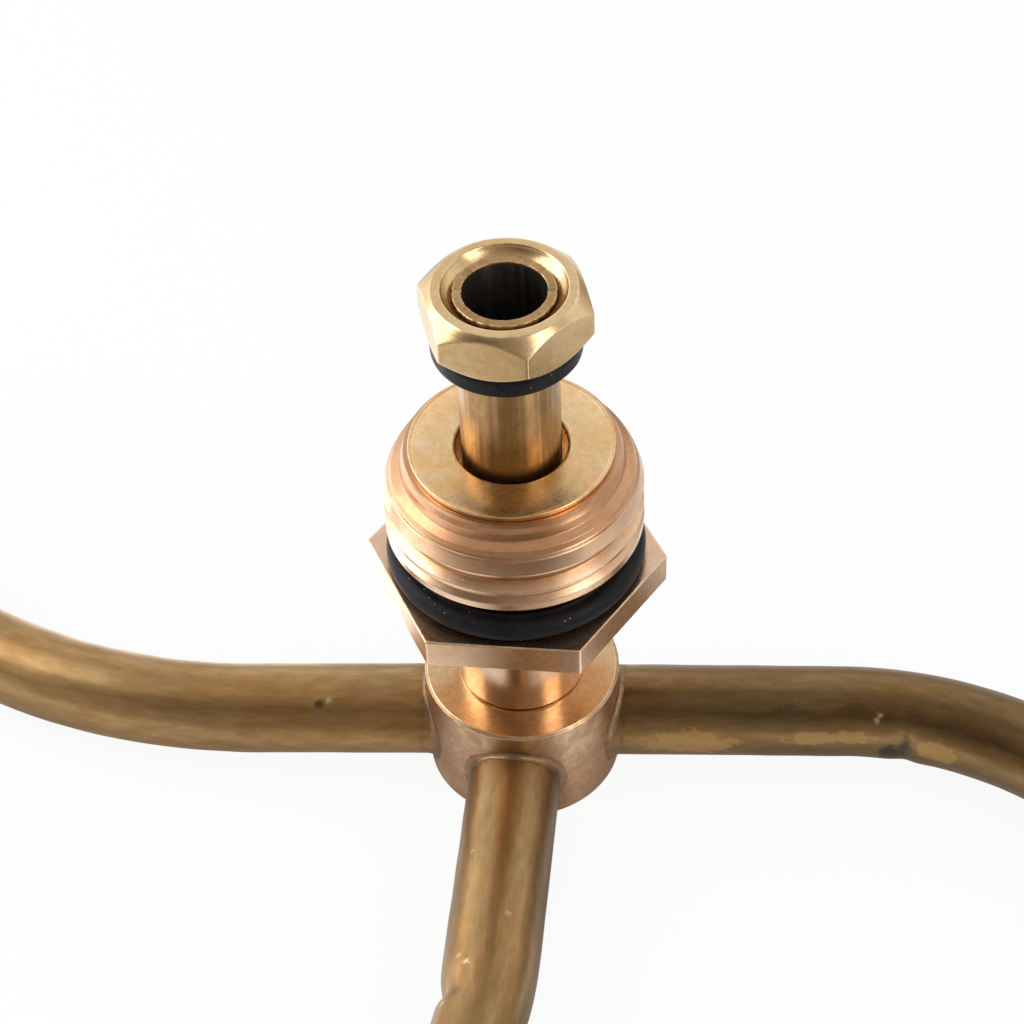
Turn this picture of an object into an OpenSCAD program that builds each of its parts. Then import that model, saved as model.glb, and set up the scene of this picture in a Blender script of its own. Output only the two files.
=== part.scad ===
// Three-arm rotary spray head: a turned brass hub with three bent spray arms hangs on a feed tube,
// and the tube runs in a bushed, threaded supply fitting that it can turn and slide in.
// Millimetres, +Z up along the rotor's axis, origin at the centre of the hub's underside.

/* [Hub] */
// Outside diameter of the hub
hub_d = 21.1; // [20:0.1:28]
// Height of the hub
hub_h = 13.78; // [13.4:0.02:20]
// Height of the arms' axis above the hub's underside
arm_axis_h = 5.87; // [5.81:0.01:6.2]
// Chamfer round the hub's top edge
hub_edge = 0.35; // [0.1:0.05:1]
// Depth of the hub's socket for the feed tube
tube_socket = 3.6; // [2.4:0.1:3.6]
// Depth of the hub's sockets for the arms
arm_socket = 4.3; // [3:0.1:4.5]

/* [Feed tube] */
// Outside diameter of the feed tube
tube_d = 10; // [9:0.1:10.4]
// Bore of the feed tube
tube_bore = 8; // [5:0.1:8.4]
// Length of the bevel inside the tube's open end
tube_bevel = 0.25; // [0.05:0.05:0.4]

/* [Threaded fitting] */
// Diameter of the neck below the hexagon
neck_d = 13.6; // [12.8:0.1:18]
// Length of the neck
neck_l = 14.84; // [12:0.02:24]
// Width of the hexagon across its flats
hex_af = 27; // [26:0.1:34]
// Thickness of the hexagon
hex_t = 3.5; // [2.5:0.1:8]
// Turn of the hexagon about the axis, in degrees
hex_turn = -7.9; // [-30:0.1:30]
// Chamfer on the hexagon's corners
hex_edge = 0.25; // [0.1:0.05:0.8]
// Length of the plain relief behind the thread
relief_l = 5.05; // [3:0.05:8]
// Diameter over the thread's crests
thread_d = 26.44; // [25:0.02:32]
// Length of the full thread
thread_l = 5.6; // [4:0.1:16]
// Length of the tapered start of the thread
lead_l = 2.4; // [1:0.1:4]
// Diameter where the tapered start ends
lead_d = 24.3; // [23:0.1:24.8]
// Height of the shoulder between the thread and the bush's flange
shoulder_h = 1.9; // [1:0.1:4]
// Length of the lower bearing land in the neck
land_l = 9; // [4:0.5:11]

/* [Bearing bush] */
// Diameter of the bush's flange
flange_d = 20.72; // [18:0.02:22]
// Thickness of the bush's flange
flange_t = 0.6; // [0.3:0.05:2]
// Outside diameter of the bush's sleeve
sleeve_d = 14; // [13:0.1:15]
// Length of the bush's sleeve below its flange
sleeve_l = 12; // [9:0.5:13]
// Depth of the wide entry at the bush's mouth
entry_depth = 4; // [1:0.5:6]
// Extra radius of the wide entry over the tube
entry_gap = 0.6; // [0.3:0.05:1]
// Rounding of the bush's mouth
mouth_r = 0.5; // [0.2:0.05:0.6]

/* [Flange O-ring] */
// Section diameter of the O-ring on the hexagon
ring_section = 2.7; // [1.6:0.1:3]

/* [Lock nut and washer] */
// Width of the nut across its flats
nut_af = 15.1; // [14:0.1:20]
// Height of the nut
nut_h = 5.3; // [4:0.1:9]
// Turn of the nut about the axis, in degrees
nut_turn = -17.9; // [-30:0.1:30]
// Diameter of the nut's flat faces inside the corner chamfers
nut_face_d = 14.8; // [13.4:0.1:15.6]
// Diameter of the countersink at the nut's mouth
sink_d = 12.2; // [11.2:0.1:13]
// Depth of the countersink
sink_depth = 1.1; // [0.4:0.1:2]
// Depth of the tube's end below the nut's face
tube_recess = 0.54; // [0.1:0.02:1]
// Outside diameter of the rubber seal washer
washer_d = 14.8; // [12:0.1:18]
// Thickness of the rubber seal washer
washer_t = 2.25; // [1:0.05:4]
// Free travel of the fitting along the tube
float_travel = 12.94; // [4:0.02:30]

/* [Arms] */
// Outside diameter of the arm tubes
arm_d = 10; // [8:0.1:10.2]
// Bore of the arm tubes
arm_bore = 8; // [5:0.1:8.4]
// Length of each arm along its axis, from the hub's axis to the tube's end
arm_l = 84; // [70:1:94]
// Direction of the left arm about the axis, in degrees
left_turn = 176.4; // [165:0.1:195]
// Direction of the right arm
right_turn = -4.1; // [-15:0.1:15]
// Direction of the front arm
front_turn = 262.2; // [250:0.1:285]
// Where the left arm's bend begins, from the hub's axis
left_bend_at = 30; // [24:0.5:34]
// Where the right arm's bend begins
right_bend_at = 35; // [24:0.5:40]
// Where the front arm's bend begins
front_bend_at = 36.5; // [24:0.5:44]
// Radius of the left arm's bend at the tube's axis
left_bend_r = 64; // [45:1:80]
// Radius of the right arm's bend
right_bend_r = 40; // [36:1:60]
// Radius of the front arm's bend
front_bend_r = 38; // [36:1:60]
// Width of the braze fillets where the arms meet the hub
fillet_w = 0.7; // [0.3:0.05:0.8]

/* [Spray tips] */
// Outside diameter of the ferrule on each arm's end
ferrule_d = 11.5; // [10.6:0.1:11.6]
// Length of the ferrule over the tube
ferrule_grip = 2; // [1:0.25:2]
// Length of the ferrule past the tube's end
ferrule_nose = 7; // [5:0.5:12]
// Diameter of the jet's screwed stem
stem_d = 7.2; // [5:0.1:7.4]
// Length of the jet's screwed stem
stem_l = 4; // [2:0.5:5]
// Width of the jet's hexagon across its flats
jet_af = 9; // [8:0.1:9.8]
// Thickness of the jet's hexagon
jet_hex_t = 2.6; // [1.5:0.1:5]
// Length of the jet's tapered nose
nose_l = 2.6; // [1:0.1:6]
// Diameter of the tip of the nose
nose_d = 4.6; // [3.4:0.1:6]
// Diameter of the jet hole
jet_hole = 1.8; // [0.6:0.1:2.6]

/* [Hidden] */
$fn = 96;
hexagon = 6;
// Clearances, all radial or end to end
run_clear = 0.06;      // running fit of the bush, the neck's land and the washer on the tube
joint_clear = 0.03;    // brazed, pressed and screwed joints
grip_clear = 0.12;     // the ferrules' sockets, which go over tube that is still curved
seat_gap = 0.05;       // between faces that touch
rest_gap = 0.1;        // under the fitting where it stands on the hub
bore_relief = 0.6;     // extra radius of the neck's bore between the lands
braze_h = 0.7;         // height of the braze round the feed tube
neck_mouth = 1.1;      // chamfer that lets the neck pass over that braze
edge = 0.3;            // small edge breaks
braze_lip = 0.05;      // thickness of a braze fillet at its thin edge
cavity_relief = 0.6;   // extra radius of the hub's cavity over the tube's bore
cavity_drop = 0.35;    // depth of the hub's cavity below the arms' bores
relief_depth = 1.5;    // depth of the relief below the end of the tapered start
shoulder_step = 0.5;   // how far the fitting's shoulder stands out from the bush's flange
jet_wall = 1;          // wall of the jet's stem round its wide feed
over = 1;              // how far a cutter runs past the face that it opens
cut = 0.01;            // the same for a cone, which would grow if it ran further

// Width of a hexagon across its corners, from its width across flats
function across_corners(width) = width * 2 / sqrt(3);

tube_r = tube_d / 2;
hub_r = hub_d / 2;
arm_r = arm_d / 2;
arm_seat = hub_r - arm_socket;
cavity_r = tube_bore / 2 + cavity_relief;
cavity_bottom = arm_axis_h - arm_bore / 2 - cavity_drop;

// The stack along the axis, from the hub's top to the nut's face
fitting_z = hub_h + rest_gap;
hex_z = fitting_z + neck_l;
relief_z = hex_z + hex_t;
thread_z = relief_z + relief_l;
lead_z = thread_z + thread_l;
shoulder_z = lead_z + lead_l;
flange_z = shoulder_z + shoulder_h;
face_z = flange_z + flange_t;
washer_z = face_z + float_travel;
nut_z = washer_z + washer_t + seat_gap;
tube_top = nut_z + nut_h - tube_recess;

land_r = tube_r + run_clear;
relief_r = land_r + bore_relief;
entry_r = tube_r + entry_gap;
sleeve_r = sleeve_d / 2;
groove_r = lead_d / 2 - relief_depth;
shoulder_r = flange_d / 2 + shoulder_step;
ring_r = groove_r + joint_clear + ring_section / 2;
nut_chamfer = across_corners(nut_af) / 2 - nut_face_d / 2;

// Each arm as [direction, where its bend begins, radius of its bend]
LEFT = [left_turn, left_bend_at, left_bend_r];
RIGHT = [right_turn, right_bend_at, right_bend_r];
FRONT = [front_turn, front_bend_at, front_bend_r];
ARMS = [LEFT, RIGHT, FRONT];

// Lays a shape drawn along +Z on an arm's axis, pointing outwards
module along_arm(arm) {
    rotate([0, 0, arm[0]]) translate([0, 0, arm_axis_h]) rotate([0, 90, 0]) children();
}

// Angle that an arm has turned through at its end
function bend_angle(arm) = (arm_l - arm[1]) / arm[2] * 180 / PI;

// Lays a shape drawn along +Z on the end of a bent arm, pointing out of the tube
module at_arm_end(arm) {
    rotate([0, 0, arm[0]])
    translate([arm[1], -arm[2], arm_axis_h])
    rotate([0, 0, -bend_angle(arm)])
    translate([0, arm[2], 0])
    rotate([0, 90, 0])
    children();
}

// A prism whose flats are width apart
module hexagon_prism(width, height, turn) {
    rotate([0, 0, turn]) cylinder(h = height, d = across_corners(width), $fn = hexagon);
}

// A round bar with both ends chamfered, which trims the corners of a hexagon
module corner_trim(face_r, height, slope_h, outer_r) {
    rotate_extrude() polygon([
        [0, 0], [face_r, 0], [outer_r, slope_h], [outer_r, height - slope_h], [face_r, height], [0, height]
    ]);
}

module hub() {
    color("#9a6a48") difference() {
        rotate_extrude() polygon([
            [0, 0], [hub_r - edge, 0], [hub_r, edge],
            [hub_r, hub_h - hub_edge], [hub_r - hub_edge, hub_h], [0, hub_h]
        ]);
        // socket for the feed tube over the cavity where the water divides
        translate([0, 0, hub_h - tube_socket]) cylinder(h = tube_socket + over, r = tube_r + joint_clear);
        translate([0, 0, cavity_bottom]) cylinder(h = hub_h - cavity_bottom, r = cavity_r);
        for (arm = ARMS) along_arm(arm) {
            translate([0, 0, over]) cylinder(h = hub_r, d = arm_bore);
            translate([0, 0, arm_seat]) cylinder(h = hub_r, r = arm_r + joint_clear);
        }
    }
}

module feed_tube() {
    bottom = hub_h - tube_socket + seat_gap;
    color("#8a6a3a") difference() {
        translate([0, 0, bottom]) cylinder(h = tube_top - bottom, r = tube_r);
        translate([0, 0, bottom - over]) cylinder(h = tube_top - bottom + 2 * over, d = tube_bore);
        translate([0, 0, tube_top - tube_bevel])
            cylinder(h = tube_bevel + cut, d1 = tube_bore, d2 = tube_bore + 2 * tube_bevel);
    }
}

module stem_braze() {
    color("#c08a50") translate([0, 0, hub_h]) difference() {
        cylinder(h = braze_h, r1 = tube_r + braze_h, r2 = tube_r + joint_clear + braze_lip);
        translate([0, 0, -over]) cylinder(h = braze_h + 2 * over, r = tube_r + joint_clear);
    }
}

module lock_nut() {
    color("#c9a86a") translate([0, 0, nut_z]) difference() {
        intersection() {
            hexagon_prism(nut_af, nut_h, nut_turn);
            corner_trim(nut_face_d / 2, nut_h, nut_chamfer, nut_face_d / 2 + nut_chamfer);
        }
        translate([0, 0, -over]) cylinder(h = nut_h + 2 * over, r = tube_r + joint_clear);
        translate([0, 0, nut_h - sink_depth])
            cylinder(h = sink_depth + cut, r1 = tube_r + joint_clear, r2 = sink_d / 2);
    }
}

module seal_washer() {
    round_r = washer_t / 4;
    width = washer_d / 2 - land_r;
    color("#1c1c1e") translate([0, 0, washer_z]) rotate_extrude() {
        translate([land_r, 0]) square([width - round_r, washer_t]);
        translate([land_r, round_r]) square([width, washer_t - 2 * round_r]);
        for (z = [round_r, washer_t - round_r]) translate([land_r + width - round_r, z]) circle(r = round_r);
    }
}

// Profile of the fitting's solid of revolution, without its hexagon and bores
module fitting_profile() {
    polygon([
        [0, fitting_z], [neck_d / 2 - edge, fitting_z], [neck_d / 2, fitting_z + edge],
        [neck_d / 2, hex_z + edge], [groove_r, hex_z + edge],
        [groove_r, thread_z - edge], [thread_d / 2 - edge, thread_z], [thread_d / 2, thread_z + edge / 2],
        [thread_d / 2, lead_z], [lead_d / 2, shoulder_z], [shoulder_r, flange_z], [0, flange_z]
    ]);
}

module threaded_body() {
    hex_r = across_corners(hex_af) / 2;
    color("#b98a66") difference() {
        union() {
            rotate_extrude() fitting_profile();
            translate([0, 0, hex_z]) intersection() {
                hexagon_prism(hex_af, hex_t, hex_turn);
                corner_trim(hex_r - hex_edge, hex_t, hex_edge / 2, hex_r);
            }
        }
        // lower bearing land, relieved bore above it and the seat of the bush
        translate([0, 0, fitting_z - over]) cylinder(h = flange_z - fitting_z + 2 * over, r = land_r);
        translate([0, 0, fitting_z - cut]) cylinder(h = neck_mouth, r1 = land_r + neck_mouth, r2 = land_r);
        translate([0, 0, fitting_z + land_l]) cylinder(h = flange_z - fitting_z - land_l, r = relief_r);
        translate([0, 0, flange_z - sleeve_l - seat_gap])
            cylinder(h = sleeve_l + seat_gap + over, r = sleeve_r + joint_clear);
    }
}

module bearing_bush() {
    color("#b3924e") translate([0, 0, flange_z]) difference() {
        union() {
            translate([0, 0, -sleeve_l]) cylinder(h = sleeve_l + flange_t / 2, r = sleeve_r);
            rotate_extrude() polygon([
                [0, seat_gap], [flange_d / 2, seat_gap], [flange_d / 2, flange_t - edge / 2],
                [flange_d / 2 - edge / 2, flange_t], [0, flange_t]
            ]);
        }
        translate([0, 0, -sleeve_l - over]) cylinder(h = sleeve_l + flange_t + 2 * over, r = land_r);
        translate([0, 0, flange_t - entry_depth]) cylinder(h = entry_depth + over, r = entry_r);
        // rounded mouth
        rotate_extrude() difference() {
            translate([entry_r - over, flange_t - mouth_r]) square([over + mouth_r, mouth_r + over]);
            translate([entry_r + mouth_r, flange_t - mouth_r]) circle(r = mouth_r);
        }
    }
}

module flange_o_ring() {
    color("#161618") translate([0, 0, relief_z + joint_clear + ring_section / 2])
        rotate_extrude() translate([ring_r, 0]) circle(d = ring_section);
}

// The bar of one arm: straight out of the hub, then round one long bend to its end
module bent_bar(arm, d) {
    turn = bend_angle(arm);
    rotate([0, 0, arm[0]]) translate([arm[1], -arm[2], arm_axis_h]) {
        rotate_extrude(angle = turn, start = 90 - turn) translate([arm[2], 0]) circle(d = d);
        straight = arm[1] - arm_seat - seat_gap;
        translate([-straight, arm[2], 0]) rotate([0, 90, 0]) cylinder(h = straight, d = d);
    }
}

module spray_arm(arm) {
    color("#7d6136") difference() {
        bent_bar(arm, arm_d);
        bent_bar(arm, arm_bore);
    }
}

// The saddle of braze in the corner between an arm and the round hub
module arm_braze(arm) {
    inner = sqrt(pow(hub_r, 2) - pow(arm_r + fillet_w, 2));
    outer = hub_r + fillet_w;
    color("#b07c48") difference() {
        along_arm(arm) translate([0, 0, inner])
            cylinder(h = outer - inner, r1 = arm_r + fillet_w, r2 = arm_r + joint_clear + braze_lip);
        along_arm(arm) cylinder(h = outer + over, r = arm_r + joint_clear);
        cylinder(h = hub_h, r = hub_r + joint_clear);
    }
}

module ferrule(arm) {
    r = ferrule_d / 2;
    color("#a88748") at_arm_end(arm) difference() {
        rotate_extrude() polygon([
            [0, -ferrule_grip], [r - edge, -ferrule_grip], [r, edge - ferrule_grip],
            [r, ferrule_nose - edge], [r - edge, ferrule_nose], [0, ferrule_nose]
        ]);
        translate([0, 0, -ferrule_grip - over])
            cylinder(h = ferrule_grip + over + seat_gap, r = arm_r + grip_clear);
        translate([0, 0, -over]) cylinder(h = ferrule_nose + 2 * over, r = stem_d / 2 + joint_clear);
    }
}

module jet(arm) {
    color("#c2a062") at_arm_end(arm) difference() {
        union() {
            translate([0, 0, ferrule_nose - stem_l]) cylinder(h = stem_l + 2 * seat_gap, d = stem_d);
            translate([0, 0, ferrule_nose + seat_gap]) hexagon_prism(jet_af, jet_hex_t, 0);
            translate([0, 0, ferrule_nose + seat_gap + jet_hex_t])
                cylinder(h = nose_l, d1 = jet_af - edge, d2 = nose_d);
        }
        translate([0, 0, -over]) cylinder(h = ferrule_nose + jet_hex_t + nose_l + 3 * over, d = jet_hole);
        // wide feed behind the jet hole
        translate([0, 0, ferrule_nose - stem_l - over])
            cylinder(h = stem_l + over, d = stem_d - 2 * jet_wall);
    }
}

hub();
feed_tube();
stem_braze();
lock_nut();
seal_washer();
threaded_body();
bearing_bush();
flange_o_ring();
spray_arm(LEFT);  // arm_left
spray_arm(RIGHT);  // arm_right
spray_arm(FRONT);  // arm_front
arm_braze(LEFT);  // braze_left
arm_braze(RIGHT);  // braze_right
arm_braze(FRONT);  // braze_front
ferrule(LEFT);  // ferrule_left
ferrule(RIGHT);  // ferrule_right
ferrule(FRONT);  // ferrule_front
jet(LEFT);  // jet_left
jet(RIGHT);  // jet_right
jet(FRONT);  // jet_front
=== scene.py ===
"""Three-arm rotary spray head: brass tube arms brazed to a turned hub on a feed tube, which runs in a
bushed, threaded supply fitting. Metres, +Z up along the feed tube, origin at the centre of the hub's
underside."""

import math
import random

import bmesh
import bpy
import numpy as np
from bpy.props import FloatProperty, FloatVectorProperty, PointerProperty
from mathutils import Matrix, Vector


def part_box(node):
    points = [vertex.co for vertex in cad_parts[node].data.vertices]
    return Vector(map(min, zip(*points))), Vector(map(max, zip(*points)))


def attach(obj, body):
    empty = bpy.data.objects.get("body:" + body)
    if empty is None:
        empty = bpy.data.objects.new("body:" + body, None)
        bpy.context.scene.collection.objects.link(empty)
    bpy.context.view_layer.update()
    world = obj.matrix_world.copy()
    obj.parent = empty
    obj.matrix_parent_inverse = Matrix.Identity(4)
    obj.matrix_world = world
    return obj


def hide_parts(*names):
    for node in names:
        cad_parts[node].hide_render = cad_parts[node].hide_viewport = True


bl_info = {
    "name": "Rotary spray head",
    "version": (1, 0, 0),
    "blender": (4, 5, 0),
    "location": "3D View > Sidebar > Spray Head",
    "description": "Builds a three-arm brass rotary spray head and its studio",
    "category": "Mesh",
}

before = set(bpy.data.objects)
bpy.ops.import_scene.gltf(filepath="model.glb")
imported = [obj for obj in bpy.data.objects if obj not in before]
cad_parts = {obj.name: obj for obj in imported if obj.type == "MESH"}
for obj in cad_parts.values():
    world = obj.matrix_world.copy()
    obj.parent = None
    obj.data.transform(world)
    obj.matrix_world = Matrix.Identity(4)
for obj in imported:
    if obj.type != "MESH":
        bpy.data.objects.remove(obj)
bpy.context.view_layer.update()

MM = 0.001
TAU = 2 * math.pi


def cad(node):
    """Largest radius, lowest and highest point of a node that is turned about the axis."""
    low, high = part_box(node)
    return high.x, low.z, high.z


HUB_R, _, HUB_TOP = cad("hub")
TUBE_R, TUBE_BOTTOM, TUBE_TOP = cad("feed_tube")
_, NUT_BOTTOM, NUT_TOP = cad("lock_nut")
WASHER_R, WASHER_BOTTOM, WASHER_TOP = cad("seal_washer")
_, FITTING_BOTTOM, FLANGE_SEAT = cad("threaded_body")
FLANGE_R, BUSH_BOTTOM, FACE_TOP = cad("bearing_bush")
RING_R, RING_BOTTOM, RING_TOP = cad("flange_o_ring")

RUN_GAP = 0.06 * MM     # round the feed tube, in what runs on it
JOINT_GAP = 0.03 * MM   # in brazed, pressed and screwed joints
SEAT_GAP = 0.05 * MM    # between faces that touch
SLEEVE_R = 7 * MM       # of the bush
ENTRY_GAP = 0.6 * MM    # round the feed tube at the bush's mouth
NECK_MOUTH = 1.1 * MM   # chamfer that lets the neck pass over the braze on the hub
STEM_R = 3.6 * MM       # of a jet's screwed stem


# ---------------------------------------------------------------- sizes and colours

class SprayHeadShape(bpy.types.PropertyGroup):
    """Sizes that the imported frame's boxes don't give."""

    hex_width: FloatProperty(
        name="Hexagon width", description="Across the flats of the fitting's hexagon", default=27 * MM,
        unit="LENGTH")
    hex_height: FloatProperty(
        name="Hexagon height", description="Thickness of the fitting's hexagon", default=3.5 * MM,
        unit="LENGTH")
    hex_turn: FloatProperty(
        name="Hexagon turn", description="Turn of the fitting's hexagon about the axis",
        default=math.radians(-7.9), subtype="ANGLE")
    neck_width: FloatProperty(
        name="Neck", description="Diameter of the fitting's neck", default=13.6 * MM, unit="LENGTH")
    neck_length: FloatProperty(
        name="Neck length", description="Length of the neck below the hexagon", default=14.84 * MM,
        unit="LENGTH")
    relief_length: FloatProperty(
        name="Relief", description="Plain stretch behind the thread, which the O-ring sits in",
        default=5.05 * MM, unit="LENGTH")
    nut_width: FloatProperty(
        name="Nut width", description="Across the flats of the lock nut", default=15.1 * MM, unit="LENGTH")
    nut_turn: FloatProperty(
        name="Nut turn", description="Turn of the lock nut about the axis", default=math.radians(-17.9),
        subtype="ANGLE")
    nut_face: FloatProperty(
        name="Nut face", description="Diameter of the nut's flat faces", default=14.8 * MM, unit="LENGTH")
    bore: FloatProperty(
        name="Bore", description="Bore of the feed tube and the arms", default=8 * MM, unit="LENGTH")
    arm_length: FloatProperty(
        name="Arm length", description="Along an arm's axis, from the hub's axis to the tube's end",
        default=84 * MM, unit="LENGTH")
    arm_height: FloatProperty(
        name="Arm height", description="Height of the arms' axis", default=5.87 * MM, unit="LENGTH")
    braze_width: FloatProperty(
        name="Braze width", description="Width of the braze fillets", default=0.66 * MM, unit="LENGTH")
    ferrule_grip: FloatProperty(
        name="Ferrule grip", description="Length of a ferrule over its tube", default=2 * MM, unit="LENGTH")
    ferrule_nose: FloatProperty(
        name="Ferrule nose", description="Length of a ferrule past its tube", default=7 * MM, unit="LENGTH")


class SprayHeadFinish(bpy.types.PropertyGroup):
    """Colours of the clean metal and of its tarnish."""

    arm_clean: FloatVectorProperty(
        name="Arm brass", description="Clean brass of the arms", subtype="COLOR",
        default=(0.465, 0.30, 0.135))
    arm_dull: FloatVectorProperty(
        name="Arm tarnish", description="Tarnish on the arms", subtype="COLOR", default=(0.32, 0.195, 0.08))
    tube_clean: FloatVectorProperty(
        name="Tube brass", description="Clean brass of the feed tube", subtype="COLOR",
        default=(0.50, 0.315, 0.135))
    tube_dull: FloatVectorProperty(
        name="Tube tarnish", description="Tarnish on the feed tube", subtype="COLOR",
        default=(0.35, 0.215, 0.10))
    nut_clean: FloatVectorProperty(
        name="Nut brass", description="Pale brass of the lock nut", subtype="COLOR",
        default=(0.74, 0.545, 0.30))
    nut_dull: FloatVectorProperty(
        name="Nut tarnish", description="Olive tarnish on the lock nut", subtype="COLOR",
        default=(0.64, 0.45, 0.23))
    bush_clean: FloatVectorProperty(
        name="Bush brass", description="Yellow brass of the bush's face", subtype="COLOR",
        default=(0.76, 0.49, 0.20))
    bush_dull: FloatVectorProperty(
        name="Bush bloom", description="Pinkish bloom on the bush's face", subtype="COLOR",
        default=(0.82, 0.59, 0.36))
    fitting_clean: FloatVectorProperty(
        name="Fitting bronze", description="Bright pink bronze of the fitting", subtype="COLOR",
        default=(0.80, 0.57, 0.41))
    fitting_dull: FloatVectorProperty(
        name="Fitting tarnish", description="Browner bronze of the fitting", subtype="COLOR",
        default=(0.70, 0.47, 0.31))
    hub_clean: FloatVectorProperty(
        name="Hub brass", description="Golden brass of the hub", subtype="COLOR", default=(0.72, 0.51, 0.29))
    hub_dull: FloatVectorProperty(
        name="Hub tarnish", description="Coppery brown of the hub's side", subtype="COLOR",
        default=(0.46, 0.285, 0.18))
    braze_clean: FloatVectorProperty(
        name="Braze", description="Braze metal", subtype="COLOR", default=(0.42, 0.28, 0.15))
    braze_dull: FloatVectorProperty(
        name="Burnt braze", description="Burnt flux and braze", subtype="COLOR", default=(0.24, 0.155, 0.10))
    rubber: FloatVectorProperty(
        name="Rubber", description="Black rubber of the washer and the O-ring", subtype="COLOR",
        default=(0.004, 0.004, 0.005))


# ---------------------------------------------------------------- meshes

def ripple(angle, seed, waves):
    """A smooth irregular curve that closes round a circle, from about -1 to 1."""
    rng = random.Random(seed)
    return sum(np.sin(wave * angle + rng.uniform(0, TAU)) for wave in waves) / len(waves) ** 0.5


def bump_at(value, centre, width):
    """A soft bump of height 1 at centre."""
    return np.exp(-((value - centre) / width) ** 2)


def smooth_step(value, start, end):
    t = np.clip((value - start) / (end - start), 0, 1)
    return t * t * (3 - 2 * t)


def even_angles(count):
    return np.linspace(0, TAU, count, endpoint=False)


def signed_angle(angle):
    """The same angle between minus and plus half a turn."""
    return (angle + math.pi) % TAU - math.pi


def from_axis(points):
    return np.hypot(points[..., 0], points[..., 1])


def corner_angles(turn, count, spread):
    """Even angles with more of them at the corners of a hexagon."""
    near = np.linspace(-spread, spread, 13)
    corners = (turn + even_angles(6))[:, None] + near
    return np.unique(np.round(np.concatenate([even_angles(count), corners.ravel() % TAU]), 6))


def hexagon_radius(angle, width, turn, corner):
    """Distance from the axis to a hexagon with slightly rounded corners."""
    sixth = TAU / 6
    off = np.abs((angle - turn + sixth / 2) % sixth - sixth / 2)
    flat = width / 2 / np.cos(sixth / 2 - off)
    centre = (width / 2 - corner) / math.cos(sixth / 2)
    limit = math.atan2(corner / 2, centre + corner * math.cos(sixth / 2))
    inside = np.clip(corner ** 2 - (centre * np.sin(off)) ** 2, 0, None)
    return np.where(off < limit, centre * np.cos(off) + np.sqrt(inside), flat)


def rounded(corners, loop, steps=5):
    """Rows (radius, height, wear) of a turned section. Each corner is (radius, height, rounding), and a
    corner with a negative rounding is an inner one, which doesn't wear."""
    rows = []
    count = len(corners)
    for i, (radius, height, rounding) in enumerate(corners):
        if not rounding or (not loop and i in (0, count - 1)):
            rows.append((radius, height, 0.0))
            continue
        here = np.array((radius, height))
        back = np.array(corners[i - 1][:2]) - here
        ahead = np.array(corners[(i + 1) % count][:2]) - here
        reach_back, reach_ahead = np.linalg.norm(back), np.linalg.norm(ahead)
        back, ahead = back / reach_back, ahead / reach_ahead
        half = math.acos(np.clip(back @ ahead, -1, 1)) / 2
        reach = min(abs(rounding) / math.tan(half), 0.45 * reach_back, 0.45 * reach_ahead)
        arc = reach * math.tan(half)
        middle = (back + ahead) / np.linalg.norm(back + ahead)
        centre = here + middle * arc / math.sin(half)
        start, end = here + back * reach, here + ahead * reach
        support = min(0.03 * MM, 0.05 * reach_back, 0.05 * reach_ahead)
        rows.append((*(start + back * support), 0.0))
        sweep = math.pi - 2 * half
        a, b = (start - centre) / arc, (end - centre) / arc
        for k in range(steps + 1):
            t = k / steps
            spoke = (a * math.sin((1 - t) * sweep) + b * math.sin(t * sweep)) / math.sin(sweep)
            rows.append((*(centre + spoke * arc), 1.0 if rounding > 0 else 0.0))
        rows.append((*(end + ahead * support), 0.0))
    return rows


def turned(rows, angles):
    """Points and wear of rows turned about the Z axis. A row's radius or height may differ by angle."""
    shape = (len(rows), len(angles))
    radius, height, wear = (
        np.array([np.broadcast_to(row[k], shape[1]) for row in rows], float) for k in range(3))
    points = np.stack([radius * np.cos(angles), radius * np.sin(angles), height], axis=-1)
    return points, wear


def grid_quads(rows, columns, loop):
    """Faces over a grid of points whose columns close, and whose rows close in a loop."""
    index = np.arange(rows * columns).reshape(rows, columns)
    first = index if loop else index[:-1]
    second = np.roll(index, -1, axis=0) if loop else index[1:]
    quads = np.stack([first, np.roll(first, -1, 1), np.roll(second, -1, 1), second], axis=-1)
    return index, quads.reshape(-1, 4).tolist()


def link_object(name, data):
    made = bpy.data.objects.new(name, data)
    bpy.context.scene.collection.objects.link(made)
    return made


def make_piece(name, points, finish, body, node, slot, marks=None, loop=True, sharp=40):
    """A closed mesh over a grid of points, rows by columns, that stands for a node of the frame. Marks
    are the values at its points that its material reads."""
    rows, columns = points.shape[:2]
    index, faces = grid_quads(rows, columns, loop)
    vertices = points.reshape(-1, 3).tolist()
    if not loop:
        for end in (0, -1):
            vertices.append(points[end].mean(axis=0).tolist())
            pole = len(vertices) - 1
            ring = index[end].tolist()
            faces += [(a, b, pole) for a, b in zip(ring, ring[1:] + ring[:1])]
    mesh = bpy.data.meshes.new(name)
    mesh.from_pydata(vertices, [], faces)
    shell = bmesh.new()
    shell.from_mesh(mesh)
    bmesh.ops.recalc_face_normals(shell, faces=shell.faces)
    shell.to_mesh(mesh)
    shell.free()
    for label, values in (marks or {}).items():
        kind, key = ("FLOAT", "value") if values.ndim == 2 else ("FLOAT_VECTOR", "vector")
        flat = values.reshape(rows * columns, -1)
        extra = np.zeros((len(vertices) - len(flat), flat.shape[1]))
        layer = mesh.attributes.new(label, kind, "POINT")
        layer.data.foreach_set(key, np.concatenate([flat, extra]).astype(np.float32).ravel())
    mesh.shade_smooth()
    mesh.set_sharp_from_angle(angle=math.radians(sharp))
    mesh.materials.append(material_of(slot, finish))
    piece = link_object(name, mesh)
    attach(piece, body)
    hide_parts(node)


# ---------------------------------------------------------------- arms' geometry

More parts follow.
